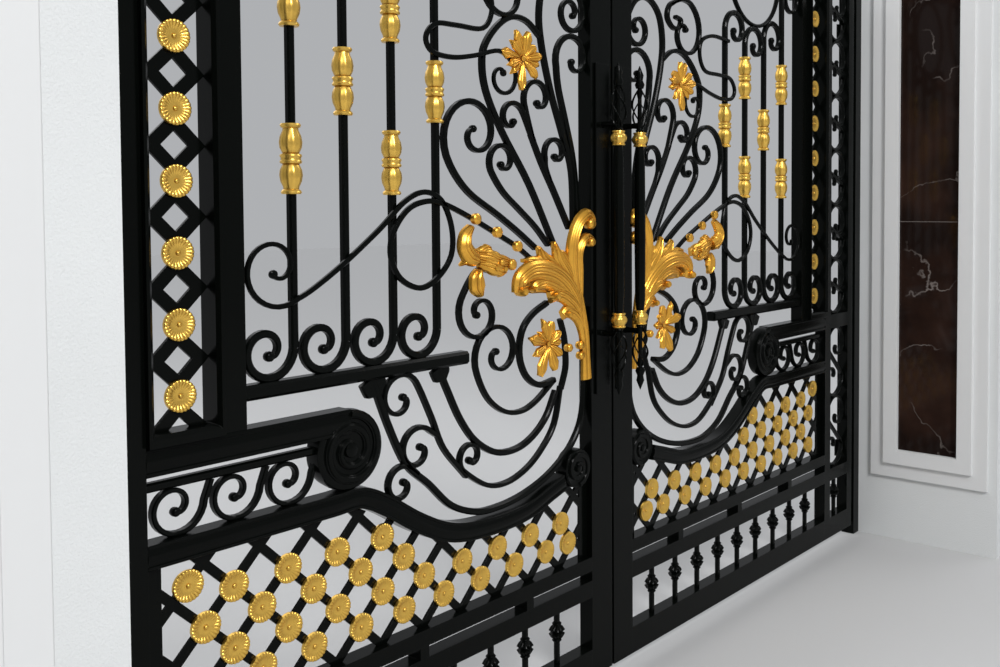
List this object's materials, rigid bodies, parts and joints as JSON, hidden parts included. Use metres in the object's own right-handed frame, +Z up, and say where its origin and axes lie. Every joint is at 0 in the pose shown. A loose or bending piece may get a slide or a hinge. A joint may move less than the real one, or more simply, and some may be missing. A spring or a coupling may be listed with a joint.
{
  "type": "wrought iron driveway gate",
  "caption": "Two-leaf wrought iron driveway gate with scrollwork, diagonal lattice and gilt castings, hung between rendered pillars with dark marble panels.",
  "frame": {"origin": "centre of the left pillar's foot, on the ground", "axes": "+X along the gate to the right as seen from the street, +Y into the property, +Z up"},
  "size_m": [5.352, 0.87, 3.2],
  "materials": {
    "black_paint": "satin",
    "gilding": "satin gilt",
    "white_render": "stippled render",
    "white_moulding": "smooth",
    "dark_marble": "polished"
  },
  "bodies": {
    "root": {"left_jamb": "black_paint", "left_marble_panels": "dark_marble", "left_panel_mouldings": "white_moulding", "left_pillar": "white_render", "left_pillar_cap": "white_render", "right_jamb": "black_paint", "right_marble_panels": "dark_marble", "right_panel_mouldings": "white_moulding", "right_pillar": "white_render", "right_pillar_cap": "white_render"},
    "left_leaf": {"left_acanthus_leaf": "gilding", "left_balusters": "black_paint", "left_bar_collars": "gilding", "left_crown_scrolls": "black_paint", "left_gilt_flowers": "gilding", "left_hinge_barrels": "black_paint", "left_long_scroll": "black_paint", "left_lower_fan": "black_paint", "left_lower_lattice": "black_paint", "left_ogee_band": "black_paint", "left_pull_handle": "black_paint", "left_rails": "black_paint", "left_rosettes": "gilding", "left_scroll_row": "black_paint", "left_side_scrolls": "black_paint", "left_stiles": "black_paint", "left_strip_lattice": "black_paint", "left_top_rail": "black_paint", "left_upper_fan": "black_paint", "left_upright_bars": "black_paint", "left_volute_rail": "black_paint"},
    "right_leaf": {"right_acanthus_leaf": "gilding", "right_balusters": "black_paint", "right_bar_collars": "gilding", "right_crown_scrolls": "black_paint", "right_gilt_flowers": "gilding", "right_hinge_barrels": "black_paint", "right_long_scroll": "black_paint", "right_lower_fan": "black_paint", "right_lower_lattice": "black_paint", "right_ogee_band": "black_paint", "right_pull_handle": "black_paint", "right_rails": "black_paint", "right_rosettes": "gilding", "right_scroll_row": "black_paint", "right_side_scrolls": "black_paint", "right_stiles": "black_paint", "right_strip_lattice": "black_paint", "right_top_rail": "black_paint", "right_upper_fan": "black_paint", "right_upright_bars": "black_paint", "right_volute_rail": "black_paint"}
  },
  "joints": [
    {"name": "left_leaf_hinge", "type": "hinge", "parent": "root", "child": "left_leaf", "pos_m": [0.4185, 0.327, 1.38], "axis": [0, 0, 1], "range_deg": [0, 90]},
    {"name": "right_leaf_hinge", "type": "hinge", "parent": "root", "child": "right_leaf", "pos_m": [4.1115, 0.327, 1.38], "axis": [0, 0, -1], "range_deg": [0, 90]}
  ]
}
